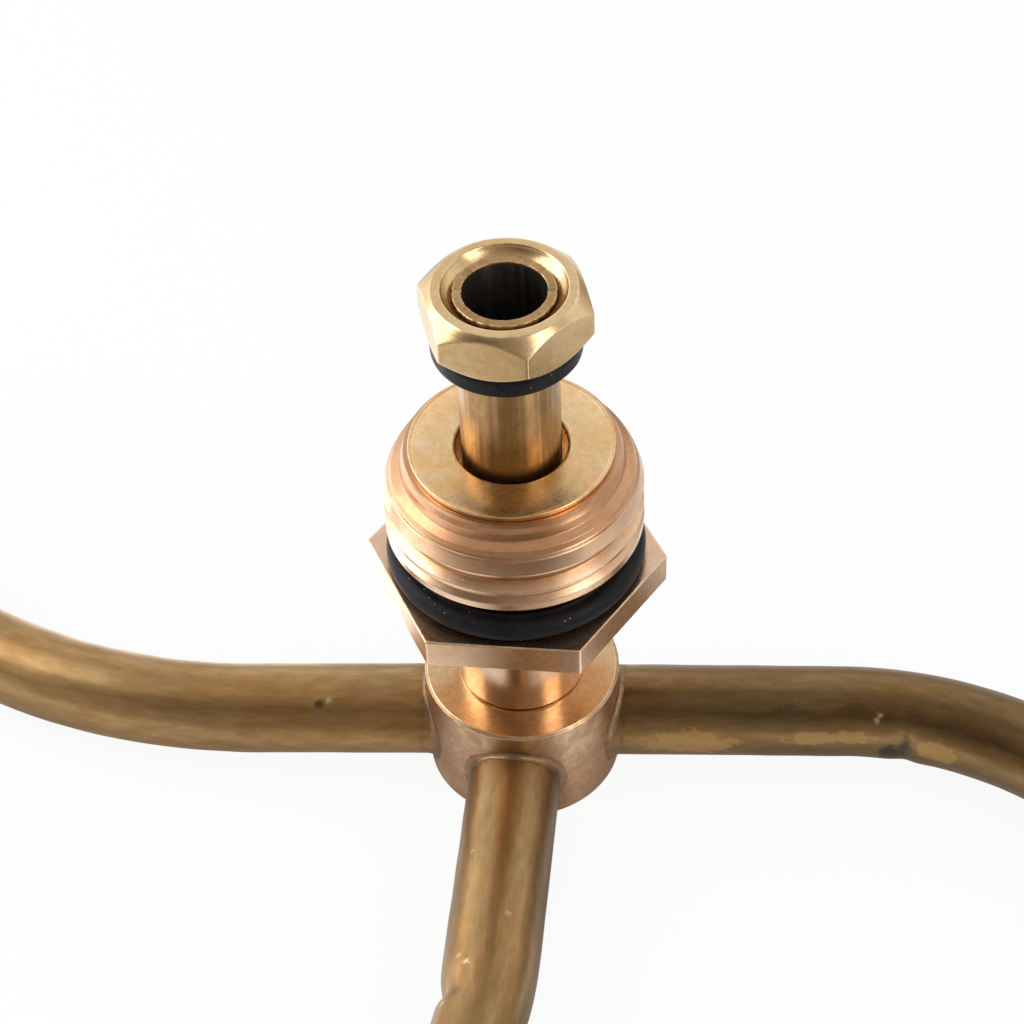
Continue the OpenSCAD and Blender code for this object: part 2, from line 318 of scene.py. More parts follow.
# Direction, start of the bend and radius of the bend of each arm
ARMS = {
    "left": (math.radians(176.4), 30 * MM, 64 * MM),
    "right": (math.radians(-4.1), 35 * MM, 40 * MM),
    "front": (math.radians(262.2), 36.5 * MM, 38 * MM),
}


def arm_point(arm, along):
    """Centre of an arm, its direction and its outward side, at a distance from the hub's axis."""
    turn, bend_at, bend_r = arm
    angle = np.clip(along - bend_at, 0, None) / bend_r
    x = np.minimum(along, bend_at) + bend_r * np.sin(angle)
    y = -bend_r * (1 - np.cos(angle))
    spin = np.array([[math.cos(turn), -math.sin(turn)], [math.sin(turn), math.cos(turn)]])
    centre = np.stack([x, y], -1) @ spin.T
    ahead = np.stack([np.cos(angle), -np.sin(angle)], -1) @ spin.T
    outward = np.stack([np.sin(angle), np.cos(angle)], -1) @ spin.T
    return centre, ahead, outward


def on_arm_end(arm, points, shape):
    """Moves points drawn along +Z from the arm's end to their place there."""
    centre, ahead, outward = arm_point(arm, np.array(shape.arm_length))
    up = np.array([0.0, 0.0, 1.0])
    origin = np.array([*centre, shape.arm_height])
    ahead, outward = np.array([*ahead, 0.0]), np.array([*outward, 0.0])
    return origin + points[..., 2:] * ahead + points[..., :1] * outward + points[..., 1:2] * up


# ---------------------------------------------------------------- shader nodes

def add(tree, kind, inputs=None, **settings):
    """Adds a node, sets it up, and links or sets the inputs named."""
    made = tree.nodes.new(kind)
    for key, value in settings.items():
        setattr(made, key, value)
    for label, value in (inputs or {}).items():
        socket = made.inputs[label]
        if isinstance(value, bpy.types.NodeSocket):
            tree.links.new(value, socket)
        else:
            socket.default_value = value
    return made


def mix_colour(tree, factor, first, second, blend="MIX"):
    made = add(tree, "ShaderNodeMix", {0: factor, 6: first, 7: second}, data_type="RGBA", blend_type=blend)
    return made.outputs[2]


def mix_value(tree, factor, first, second):
    return add(tree, "ShaderNodeMix", {0: factor, 2: first, 3: second}, data_type="FLOAT").outputs[0]


def maths(tree, operation, first, second):
    return add(tree, "ShaderNodeMath", {0: first, 1: second}, operation=operation).outputs[0]


def plus(tree, first, second):
    return maths(tree, "ADD", first, second)


def minus(tree, first, second):
    return maths(tree, "SUBTRACT", first, second)


def times(tree, first, second):
    return maths(tree, "MULTIPLY", first, second)


def most(tree, first, second):
    return maths(tree, "MAXIMUM", first, second)


def vector_maths(tree, operation, first, second):
    return add(tree, "ShaderNodeVectorMath", {0: first, 1: second}, operation=operation).outputs[0]


def ramp(tree, value, low, high, to_low=0.0, to_high=1.0):
    made = add(tree, "ShaderNodeMapRange", {0: value, 1: low, 2: high, 3: to_low, 4: to_high},
               interpolation_type="SMOOTHSTEP")
    return made.outputs[0]


def noise(tree, vector, scale, detail=4.0, rough=0.55, bend=0.0):
    made = add(tree, "ShaderNodeTexNoise", {"Vector": vector, "Scale": scale, "Detail": detail,
                                            "Roughness": rough, "Distortion": bend})
    return made.outputs["Fac"]


def new_group(name, inputs, outputs):
    """An empty node group with named sockets. Returns the group, its inputs and its outputs."""
    group = bpy.data.node_groups.new(name, "ShaderNodeTree")
    for label, (kind, default) in inputs.items():
        socket = group.interface.new_socket(label, in_out="INPUT", socket_type="NodeSocket" + kind)
        socket.default_value = default
    for label, kind in outputs.items():
        group.interface.new_socket(label, in_out="OUTPUT", socket_type="NodeSocket" + kind)
    return group, group.nodes.new("NodeGroupInput").outputs, group.nodes.new("NodeGroupOutput").inputs


def tarnish_group():
    """Clouds of tarnish over clean metal, with fine mottling in them."""
    group, source, result = new_group(
        "Tarnish",
        {"Point": ("Vector", (0, 0, 0)), "Clean": ("Color", (1, 1, 1, 1)), "Dull": ("Color", (0, 0, 0, 1)),
         "Patch": ("Float", 5.0), "Coverage": ("Float", 0.5), "Mottling": ("Float", 0.5)},
        {"Colour": "Color", "Mask": "Float"})
    coarse = noise(group, source["Point"], maths(group, "DIVIDE", 1.0, source["Patch"]), 5.0, 0.6, 0.4)
    fine = noise(group, source["Point"], maths(group, "DIVIDE", 7.0, source["Patch"]), 4.0, 0.65)
    clouds = mix_value(group, source["Mottling"], coarse, fine)
    low = minus(group, 0.62, times(group, source["Coverage"], 0.24))
    mask = ramp(group, clouds, minus(group, low, 0.17), plus(group, low, 0.17))
    group.links.new(mask, result["Mask"])
    group.links.new(mix_colour(group, mask, source["Clean"], source["Dull"]), result["Colour"])
    return group


def grain_group():
    """Fine lines left by the lathe or the drawing die, as heights."""
    group, source, result = new_group(
        "Grain", {"Point": ("Vector", (0, 0, 0)), "Stretch": ("Vector", (1, 1, 1))}, {"Height": "Float"})
    stretched = vector_maths(group, "MULTIPLY", source["Point"], source["Stretch"])
    group.links.new(noise(group, stretched, 1.0, 4.0, 0.7), result["Height"])
    return group


def scratches_group():
    """Short thin scratches in mixed directions."""
    group, source, result = new_group(
        "Scratches", {"Point": ("Vector", (0, 0, 0)), "Spacing": ("Float", 3.0), "Amount": ("Float", 0.5)},
        {"Mask": "Float"})
    marks = []
    for turn, shift in ((0.4, 0.0), (1.5, 7.3), (2.6, 13.1)):
        spun = add(group, "ShaderNodeVectorRotate", {"Vector": source["Point"], "Angle": turn,
                                                     "Axis": (0.3, 0.5, 0.8)}).outputs[0]
        long = vector_maths(group, "MULTIPLY", spun, (1.0, 0.12, 1.0))
        moved = vector_maths(group, "ADD", long, (shift, shift, shift))
        cells = add(group, "ShaderNodeTexVoronoi",
                    {"Vector": moved, "Scale": maths(group, "DIVIDE", 1.0, source["Spacing"])},
                    feature="DISTANCE_TO_EDGE").outputs["Distance"]
        line = ramp(group, cells, 0.0, 0.012, 1.0, 0.0)
        gate = ramp(group, noise(group, moved, 0.9, 2.0), 0.56, 0.62)
        marks.append(times(group, line, gate))
    together = most(group, marks[0], most(group, marks[1], marks[2]))
    group.links.new(times(group, together, source["Amount"]), result["Mask"])
    return group


def specks_group():
    """Scattered dots, such as dust or tiny pits."""
    group, source, result = new_group(
        "Specks", {"Point": ("Vector", (0, 0, 0)), "Spacing": ("Float", 1.0), "Size": ("Float", 0.15),
                   "Share": ("Float", 0.3)},
        {"Mask": "Float"})
    cells = add(group, "ShaderNodeTexVoronoi",
                {"Vector": source["Point"], "Scale": maths(group, "DIVIDE", 1.0, source["Spacing"])})
    pick = add(group, "ShaderNodeSeparateColor", {0: cells.outputs["Color"]}).outputs[0]
    chosen = maths(group, "LESS_THAN", pick, source["Share"])
    core = times(group, source["Size"], 0.6)
    dot = ramp(group, cells.outputs["Distance"], core, source["Size"], 1.0, 0.0)
    group.links.new(times(group, dot, chosen), result["Mask"])
    return group


def lathe_group():
    """Distance from the axis and height of a point, which lathe marks follow."""
    group, source, result = new_group("Lathe", {"Point": ("Vector", (0, 0, 0))}, {"Point": "Vector"})
    flat = vector_maths(group, "MULTIPLY", source["Point"], (1, 1, 0))
    radius = add(group, "ShaderNodeVectorMath", {0: flat}, operation="LENGTH").outputs["Value"]
    height = add(group, "ShaderNodeSeparateXYZ", {0: source["Point"]}).outputs["Z"]
    joined = add(group, "ShaderNodeCombineXYZ", {0: radius, 1: height}).outputs[0]
    group.links.new(joined, result["Point"])
    return group


GROUP_MAKERS = {
    "Tarnish": tarnish_group, "Grain": grain_group, "Scratches": scratches_group,
    "Specks": specks_group, "Lathe": lathe_group,
}


def use_group(tree, name, inputs):
    group = bpy.data.node_groups.get(name) or GROUP_MAKERS[name]()
    return add(tree, "ShaderNodeGroup", inputs, node_tree=group).outputs


def opaque(colour):
    return (*colour, 1.0)


def ragged(tree, name, point, grain, size):
    """The values marked on the mesh under a name, with a cloud added that breaks up their edges."""
    cloud = times(tree, minus(tree, noise(tree, point, grain, 5.0, 0.65), 0.5), size)
    return plus(tree, mark(tree, name), cloud)


def mark(tree, name):
    return add(tree, "ShaderNodeAttribute", attribute_name=name).outputs["Fac"]


def new_surface(title, along_tube=False):
    """A material, its tree and its shader, and the points of the surface in millimetres."""
    material = bpy.data.materials.new(title)
    material.use_nodes = True
    tree = material.node_tree
    if along_tube:
        local = add(tree, "ShaderNodeAttribute", attribute_name="tube_point").outputs["Vector"]
    else:
        local = add(tree, "ShaderNodeTexCoord").outputs["Object"]
    point = vector_maths(tree, "MULTIPLY", local, (1 / MM,) * 3)
    return material, tree, tree.nodes["Principled BSDF"], point


def link_bump(tree, shader, height, strength, distance):
    bump = add(tree, "ShaderNodeBump", {"Height": height, "Strength": strength, "Distance": distance})
    tree.links.new(bump.outputs[0], shader.inputs["Normal"])


# patch in millimetres; grain follows the lathe (radius, height) or the tube (along, across, up);
# the darkening tint goes on the marks of painted shade and tarnish, blush is the share of the redder clouds
PLAIN_METAL = dict(path="lathe", flow=(1, 1, 1), mottling=0.4, grain=0.4, shade_and_tarnish=(0.4, 0.35, 0.3), blush=0.4,
                   coat=0.0)
METALS = {
    "arm_brass": dict(
        clean="arm_clean", dull="arm_dull", path="tube", flow=(0.3, 1, 1), patch=6.0, coverage=0.55,
        mottling=0.3, mottle=0.13, streak=0.06, smooth=0.33, rough=0.43, stretch=(0.22, 3.4, 3.4),
        grain=0.35, scratches=0.04, shade_and_tarnish=(0.26, 0.25, 0.24), blush=0.55, coat=0.15),
    "tube_brass": dict(
        clean="tube_clean", dull="tube_dull", flow=(1, 1, 0.5), patch=5.0, coverage=0.5, mottling=0.35,
        mottle=0.10, streak=0.07, smooth=0.28, rough=0.38, stretch=(3.0, 5.0, 1.0), grain=0.5,
        scratches=0.08, shade_and_tarnish=(0.7, 1.05, 2.3), blush=0.3, coat=0.2),
    "nut_brass": dict(
        clean="nut_clean", dull="nut_dull", patch=7.0, coverage=0.4, mottle=0.07, streak=0.05, smooth=0.20,
        rough=0.29, stretch=(6.0, 2.0, 1.0), scratches=0.07, blush=0.2),
    "bush_brass": dict(
        clean="bush_clean", dull="bush_dull", patch=3.6, coverage=0.6, mottle=0.10, streak=0.03, smooth=0.22,
        rough=0.31, stretch=(5.0, 5.0, 1.0), grain=0.3, scratches=0.03, blush=0.5),
    "fitting_bronze": dict(
        clean="fitting_clean", dull="fitting_dull", patch=8.0, coverage=0.35, mottling=0.3, mottle=0.07,
        streak=0.06, smooth=0.24, rough=0.33, stretch=(6.0, 6.0, 1.0), grain=0.2, scratches=0.05,
        shade_and_tarnish=(0.74, 0.56, 0.40)),
    "hub_brass": dict(
        clean="hub_clean", dull="hub_dull", patch=6.0, coverage=0.85, mottling=0.35, mottle=0.12,
        streak=0.06, smooth=0.30, rough=0.42, stretch=(4.0, 5.0, 1.0), scratches=0.08),
    "braze_metal": dict(
        clean="braze_clean", dull="braze_dull", patch=1.6, coverage=0.7, mottling=0.5, mottle=0.2,
        streak=0.05, smooth=0.34, rough=0.5, stretch=(2.0, 2.0, 2.0), grain=0.8, scratches=0.0, blush=0.3),
    "tip_brass": dict(
        clean="tube_clean", dull="arm_dull", path="plain", patch=5.0, coverage=0.5, mottle=0.12,
        streak=0.06, smooth=0.28, rough=0.4, stretch=(1.5, 1.5, 1.5), scratches=0.1, blush=0.5, coat=0.2),
}
# near black of real stains and of painted shade
SOOT_AND_SHADE = (0.040, 0.034, 0.032, 1)
GOLD_SCALE = (0.56, 0.34, 0.12, 1)
FRESH = (1.0, 0.86, 0.66, 1)
RED_CLOUD = (1.0, 0.82, 0.62, 1)
POLISHED = 0.17
RUBBER_BLOOM = (0.013, 0.012, 0.013, 1)
BRASS_DUST = (0.42, 0.27, 0.13, 1)


def metal(title, slot, finish):
    """The metal of a slot: tarnish, grain, scratches, pits, worn edges, heat stain with painted shade, and
    loose scale.
    """
    look = PLAIN_METAL | METALS[slot]
    material, tree, shader, point = new_surface(title, look["path"] == "tube")
    path = use_group(tree, "Lathe", {"Point": point})["Point"] if look["path"] == "lathe" else point
    clean, dull = opaque(getattr(finish, look["clean"])), opaque(getattr(finish, look["dull"]))
    drift = vector_maths(tree, "MULTIPLY", point, look["flow"])
    tarnish = use_group(tree, "Tarnish", {
        "Point": drift, "Clean": clean, "Dull": dull, "Patch": look["patch"], "Coverage": look["coverage"],
        "Mottling": look["mottling"]})
    grain = use_group(tree, "Grain", {"Point": path, "Stretch": look["stretch"]})["Height"]
    scratch = use_group(tree, "Scratches", {"Point": point, "Spacing": 4.0,
                                            "Amount": look["scratches"]})["Mask"]
    pits = use_group(tree, "Specks", {"Point": point, "Spacing": 1.4, "Size": 0.08, "Share": 0.12})["Mask"]
    stain_and_shade = ramp(tree, ragged(tree, "stain_and_shade", point, 0.9, 0.9), 0.25, 0.75)
    scale = ramp(tree, ragged(tree, "scale", point, 0.8, 1.5), 0.36, 0.62)
    wear = times(tree, mark(tree, "wear"), ramp(tree, noise(tree, point, 1.3, 4.0), 0.38, 0.60))
    polish, shade_and_tarnish = mark(tree, "polish"), mark(tree, "shade_and_tarnish")

    mottles = noise(tree, drift, 1.1, 6.0, 0.7)
    mottle = ramp(tree, mottles, 0.30, 0.70, 1 - look["mottle"], 1 + 0.6 * look["mottle"])
    streak = ramp(tree, grain, 0.30, 0.70, 1 - look["streak"], 1 + 0.6 * look["streak"])
    bright = times(tree, mottle, streak)
    tint = add(tree, "ShaderNodeCombineColor", {0: bright, 1: bright, 2: times(tree, bright, mottle)})
    colour = mix_colour(tree, times(tree, polish, 0.85), tarnish["Colour"], clean)
    colour = mix_colour(tree, 1.0, colour, tint.outputs[0], "MULTIPLY")
    red = times(tree, ramp(tree, noise(tree, drift, 0.17, 4.0, 0.6), 0.42, 0.62), look["blush"])
    colour = mix_colour(tree, red, colour, RED_CLOUD, "MULTIPLY")
    # painted shade (in the thread's grooves and on the arms) and tarnish (the bore, the right arm's tide
    # line) darken by the slot's tint
    colour = mix_colour(tree, shade_and_tarnish, colour, opaque(look["shade_and_tarnish"]), "MULTIPLY")
    # real stains and painted shade, toward near black
    colour = mix_colour(tree, times(tree, stain_and_shade, 0.85), colour, SOOT_AND_SHADE)
    colour = mix_colour(tree, times(tree, scale, 0.52), colour, GOLD_SCALE)
    bare = mix_colour(tree, 0.45, clean, FRESH)
    colour = mix_colour(tree, times(tree, pits, 0.5), colour, dull)
    colour = mix_colour(tree, most(tree, scratch, times(tree, wear, 0.7)), colour, bare)
    tree.links.new(colour, shader.inputs["Base Color"])

    rough = mix_value(tree, tarnish["Mask"], look["smooth"], look["rough"])
    rough = plus(tree, rough, times(tree, minus(tree, grain, 0.5), 0.16))
    rough = plus(tree, rough, times(tree, most(tree, stain_and_shade, scale), 0.16))
    rough = mix_value(tree, times(tree, polish, 0.9), rough, POLISHED)
    tree.links.new(rough, shader.inputs["Roughness"])
    shader.inputs["Metallic"].default_value = 1.0
    shader.inputs["Coat Weight"].default_value = look["coat"]
    shader.inputs["Coat Roughness"].default_value = 0.3

    relief = times(tree, grain, look["grain"])
    relief = minus(tree, relief, times(tree, most(tree, scratch, pits), 0.35))
    relief = plus(tree, relief, times(tree, most(tree, scale, stain_and_shade), 0.35))
    relief = plus(tree, relief, times(tree, noise(tree, point, 0.35, 2.0), 0.45))
    link_bump(tree, shader, relief, 0.45, 0.05 * MM)
    return material


def rubber(title, finish):
    """Matt black rubber with a fine skin, brass dust and scuffs."""
    material, tree, shader, point = new_surface(title)
    skin = use_group(tree, "Grain", {"Point": point, "Stretch": (4, 4, 4)})["Height"]
    dust = use_group(tree, "Specks", {"Point": point, "Spacing": 0.5, "Size": 0.17, "Share": 0.09})["Mask"]
    base = use_group(tree, "Tarnish", {"Point": point, "Clean": opaque(finish.rubber), "Dull": RUBBER_BLOOM,
                                       "Patch": 4.0, "Coverage": 0.45, "Mottling": 0.5})
    tree.links.new(mix_colour(tree, dust, base["Colour"], BRASS_DUST), shader.inputs["Base Color"])
    rough = plus(tree, mix_value(tree, base["Mask"], 0.34, 0.52), times(tree, skin, 0.1))
    tree.links.new(rough, shader.inputs["Roughness"])
    shader.inputs["Specular IOR Level"].default_value = 0.18
    link_bump(tree, shader, plus(tree, times(tree, skin, 0.5), times(tree, dust, 0.6)), 0.3, 0.04 * MM)
    return material


def material_of(slot, finish):
    """The material of a slot, made on its first use."""
    title = "worn_" + slot
    if title in bpy.data.materials:
        return bpy.data.materials[title]
    return rubber(title, finish) if slot == "rubber" else metal(title, slot, finish)


# ---------------------------------------------------------------- pieces

class SprayHeadOperator:
    """Shared start of the operators: the sizes and the colours."""

    bl_options = {"REGISTER", "UNDO"}

    def settings(self, context):
        return context.scene.spray_head_shape, context.scene.spray_head_finish


class AddHub(SprayHeadOperator, bpy.types.Operator):
    """Adds the turned hub that the arms and the feed tube are brazed into"""

    bl_idname = "spray_head.add_hub"
    bl_label = "Hub"

    def execute(self, context):
        shape, finish = self.settings(context)
        cavity = shape.bore / 2 + 0.6 * MM
        floor = shape.arm_height - shape.bore / 2 - 0.35 * MM
        bevel, core = 0.3 * MM, 0.5 * MM
        socket, socket_r = HUB_TOP - 3.6 * MM, TUBE_R + JOINT_GAP
        rows = rounded([
            (core, 0, 0), (HUB_R, 0, 0.35 * MM), (HUB_R, HUB_TOP - bevel, 0.12 * MM),
            (HUB_R - bevel, HUB_TOP, 0.12 * MM), (socket_r, HUB_TOP, 0), (socket_r, socket, 0),
            (cavity, socket, 0), (cavity, floor, 0), (core, floor, 0),
        ], loop=False)
        angles = even_angles(256)
        points, wear = turned(rows, angles)
        height = points[..., 2]
        stain_and_shade = np.zeros(wear.shape)
        for turn, _, _ in ARMS.values():
            off = np.abs(signed_angle(angles - turn))
            stain_and_shade += bump_at(off[None, :] * HUB_R, 5.4 * MM, 1.2 * MM) * bump_at(
                height, shape.arm_height, 4.5 * MM) * 0.35
        polish = 1.0 * (height > HUB_TOP - 0.05 * MM)
        make_piece("hub_turned", points, finish, "rotor", "hub", "hub_brass",
                   {"wear": wear, "stain_and_shade": stain_and_shade, "polish": polish}, loop=False)
        return {"FINISHED"}


class AddFeedTube(SprayHeadOperator, bpy.types.Operator):
    """Adds the feed tube with its burred open end, and the braze at its foot"""

    bl_idname = "spray_head.add_feed_tube"
    bl_label = "Feed tube"

    def tube(self, shape, finish, angles):
        bore = shape.bore / 2
        rows = rounded([
            (TUBE_R, TUBE_BOTTOM, 0), (TUBE_R, TUBE_TOP, 0.12 * MM), (bore + 0.12 * MM, TUBE_TOP, 0.08 * MM),
            (bore, TUBE_TOP - 0.3 * MM, 0), (bore, TUBE_BOTTOM, 0),
        ], loop=True)
        burr = np.abs(0.05 * MM * ripple(angles, 3, (7, 11, 17, 23, 31)))
        rows = [(radius - (burr if height > TUBE_TOP - 0.2 * MM else 0),
                 height - (burr if height > TUBE_TOP - 0.05 * MM else 0), wear)
                for radius, height, wear in rows]
        points, wear = turned(rows, angles)
        height = points[..., 2]
        # darker towards the bush's face: a real stain and a painted dark reflection of the bush's mouth
        stain_and_shade = 0.55 * smooth_step(height, FACE_TOP + 6 * MM, FACE_TOP + MM)
        stain_and_shade += 0.35 * np.clip(ripple(angles, 4, (2, 3, 5, 8, 13)), 0, 1) * (height > TUBE_TOP - 0.35 * MM)
        shade_and_tarnish = 1.0 * (from_axis(points) < bore + 0.02 * MM)
        make_piece("feed_tube_drawn", points, finish, "rotor", "feed_tube", "tube_brass",
                   {"wear": wear, "stain_and_shade": stain_and_shade, "shade_and_tarnish": shade_and_tarnish})

    def braze(self, finish, angles):
        foot, seat = TUBE_R + JOINT_GAP, HUB_TOP + 0.01 * MM
        width = 0.55 * MM * (1 + 0.15 * ripple(angles, 9, (3, 5, 7)))
        section = [(foot, seat, 0)]
        for t in np.linspace(0, 1, 9):
            section.append((foot + 0.02 * MM + width * (1 - t) ** 2, seat + width * t ** 2, 0))
        points, _ = turned(section, angles)
        make_piece("stem_braze_flowed", points, finish, "rotor", "stem_braze", "braze_metal")

    def execute(self, context):
        shape, finish = self.settings(context)
        angles = even_angles(160)
        self.tube(shape, finish, angles)
        self.braze(finish, angles)
        return {"FINISHED"}


class AddLockNut(SprayHeadOperator, bpy.types.Operator):
    """Adds the lock nut, with chamfered corners and a countersink, and the rubber washer under it"""

    bl_idname = "spray_head.add_lock_nut"
    bl_label = "Lock nut and washer"

    def cone(self, face, flat, face_z, away):
        """Rows from a flat face over its cone to the hexagon's side, from the face outwards."""
        soft = 0.06 * MM
        drop = flat - face
        edge = np.maximum(drop - 0.7 * soft, 0)
        rows = [(face - 3 * soft, 0, 0), (face - soft, 0, 0.6), (face, 0.3 * soft, 1)]
        rows += [(face + share * (drop - soft), share * (drop - soft), wear)
                 for share, wear in ((0.12, 0.3), (0.5, 0), (0.85, 0))]
        rows += [(face + edge, edge, 0.8), (flat - 0.25 * soft, drop - 0.1 * soft, 1),
                 (flat, drop + 0.8 * soft, 0.8), (flat, drop + 3 * soft, 0)]
        return [(radius, face_z + away * depth, wear) for radius, depth, wear in rows]

    def nut(self, shape, finish):
        """The upper cone is cut deeper than the lower one, most of all on one side."""
        angles = corner_angles(shape.nut_turn, 240, math.radians(5))
        flat = hexagon_radius(angles, shape.nut_width, shape.nut_turn, 0.22 * MM)
        deeper = 0.35 * MM + 0.15 * MM * (1 + np.cos(angles - math.radians(75))) / 2
        face, bore, sink = shape.nut_face / 2, TUBE_R + 0.04 * MM, 6.05 * MM
        rows = [(bore, NUT_BOTTOM, 0), *self.cone(face, flat, NUT_BOTTOM, 1)]
        rows += reversed(self.cone(face - deeper, flat, NUT_TOP, -1))
        rows += [(sink + 0.18 * MM, NUT_TOP, 0), (sink + 0.08 * MM, NUT_TOP - 0.005 * MM, 0.5),
                 (sink, NUT_TOP - 0.05 * MM, 1)]
        for t in np.linspace(0.08, 1, 10):
            rows.append((sink - (sink - bore) * t, NUT_TOP - (0.08 + t ** 0.72) * MM, 0))
        points, wear = turned(rows, angles)
        stain_and_shade = bump_at(from_axis(points), bore + 0.1 * MM, 0.3 * MM) * 0.5 * (
            points[..., 2] > NUT_TOP - 2 * MM)
        make_piece("lock_nut_turned", points, finish, "rotor", "lock_nut", "nut_brass",
                   {"wear": wear, "stain_and_shade": stain_and_shade})

    def washer(self, finish):
        angles = even_angles(200)
        inner, edge = TUBE_R + RUN_GAP, 0.55 * MM
        rows = rounded([(inner, WASHER_BOTTOM, 0), (WASHER_R, WASHER_BOTTOM, edge),
                        (WASHER_R, WASHER_TOP, edge), (inner, WASHER_TOP, 0)], loop=True, steps=8)
        swell = 1 - 0.006 * np.abs(ripple(angles, 5, (2, 3, 4)))
        rows = [(inner if radius <= inner else radius * swell, height, 0) for radius, height, _ in rows]
        points, _ = turned(rows, angles)
        make_piece("seal_washer_rubber", points, finish, "washer", "seal_washer", "rubber")

    def execute(self, context):
        shape, finish = self.settings(context)
        self.nut(shape, finish)
        self.washer(finish)
        return {"FINISHED"}


# The worn thread and its tapered start as (height, radius, rounding) in millimetres
WORN_THREAD = [
    (0, 12.94, 0), (0.18, 13.2, 0.08), (0.95, 13.2, 0.12), (1.45, 12.62, -0.12), (1.85, 12.66, -0.1),
    (2.2, 13.16, 0.06), (2.58, 13.14, 0.08), (3.25, 12.2, -0.15), (3.9, 12.2, -0.15), (4.85, 13.12, 0.05),
    (5.1, 13.17, 0.05), (6.5, 12.72, 0.03), (6.6, 12.6, -0.03), (6.85, 12.56, 0.04), (6.95, 12.46, -0.03),
    (7.5, 12.22, 0.08), (7.98, 11.35, -0.12), (8.15, 11.28, 0), (8.95, 11.16, 0.12), (9.5, 10.9, -0.1),
    (9.9, 10.82, 0),
]


def thread_rows(start, angles):
    """Rows of the worn thread and its tapered start, which lean a little and wear unevenly."""
    corners = [(radius * MM, start + height * MM, rounding * MM) for height, radius, rounding in WORN_THREAD]
    lean = 0.1 * MM * (1 + np.cos(angles))
    rows = []
    for radius, height, wear in rounded(corners, loop=False, steps=3):
        middle = smooth_step(height, start + 0.3 * MM, start + 1.5 * MM) * (
            1 - smooth_step(height, start + 8.6 * MM, start + 9.2 * MM))
        uneven = ripple(angles, 21 + int(height / (0.9 * MM)), (5, 9, 14, 22)) * wear * middle
        rows.append((radius, height + middle * lean, 0.6 * wear * np.clip(0.5 + 0.6 * uneven, 0, 1)))
    return rows


class AddFitting(SprayHeadOperator, bpy.types.Operator):
    """Adds the threaded fitting: neck, hexagon, relief, thread and bore"""

    bl_idname = "spray_head.add_fitting"
    bl_label = "Threaded fitting"

    def hexagon_rows(self, hexagon, low, high):
        """Rows up the hexagon's side, with a softened edge below and above it."""
        soft = 0.14 * MM
        bends = [k / 4 * math.pi / 2 for k in range(5)]
        rows = [(hexagon - 2 * soft, low, 0)]
        rows += [(hexagon - soft * (1 - math.sin(bend)), low + soft * (1 - math.cos(bend)), 1)
                 for bend in bends]
        rows += [(hexagon, low + 2 * soft, 0), (hexagon, high - 2 * soft, 0)]
        rows += [(hexagon - soft * (1 - math.cos(bend)), high - soft * (1 - math.sin(bend)), 1)
                 for bend in bends]
        return [*rows, (hexagon - 2 * soft, high, 0)]

    def execute(self, context):
        shape, finish = self.settings(context)
        angles = corner_angles(shape.hex_turn, 336, math.radians(1.6))
        hexagon = hexagon_radius(angles, shape.hex_width, shape.hex_turn, 0.3 * MM)
        neck, root, seat = shape.neck_width / 2, 10.65 * MM, SLEEVE_R + JOINT_GAP
        hex_z = FITTING_BOTTOM + shape.neck_length
        relief_z = hex_z + shape.hex_height
        thread_z = relief_z + shape.relief_length
        rows = rounded([(TUBE_R + NECK_MOUTH, FITTING_BOTTOM, 0.1 * MM), (neck, FITTING_BOTTOM, 0.3 * MM),
                        (neck, hex_z, -0.5 * MM), (neck + 2 * MM, hex_z, 0)], loop=False)
        rows += self.hexagon_rows(hexagon, hex_z, relief_z)
        rows += rounded([(root + 2 * MM, relief_z, 0), (root, relief_z, -0.25 * MM),
                         (root, thread_z, -0.2 * MM), (12.85 * MM, thread_z, 0)], loop=False)
        rows += thread_rows(thread_z, angles)
        under, land, mouth = BUSH_BOTTOM - SEAT_GAP, FITTING_BOTTOM + 9 * MM, FITTING_BOTTOM + NECK_MOUTH
        wide, narrow = TUBE_R + RUN_GAP + 0.6 * MM, TUBE_R + RUN_GAP
        rows += [(seat, FLANGE_SEAT, 0), (seat, under, 0), (wide, under, 0), (wide, land, 0),
                 (narrow, land, 0), (narrow, mouth, 0)]
        points, wear = turned(rows, angles)
        radius, height = from_axis(points), points[..., 2]
        # painted shade under the thread's lower edge
        stain_and_shade = bump_at(height, thread_z - 0.2 * MM, 0.6 * MM) * 0.5
        polish = 1.0 * (height < hex_z - 0.6 * MM)
        # painted shade in the thread's grooves, darker and warmer as light bounced between the flanks
        grooves = smooth_step(radius, 13.1 * MM, 12.3 * MM) * smooth_step(radius, 7.5 * MM, 9 * MM)
        shade_and_tarnish = 0.8 * grooves * (height > thread_z + 0.1 * MM)
        make_piece("fitting_threaded", points, finish, "fitting", "threaded_body", "fitting_bronze",
                   {"wear": wear, "stain_and_shade": stain_and_shade, "polish": polish, "shade_and_tarnish": shade_and_tarnish}, sharp=50)
        return {"FINISHED"}


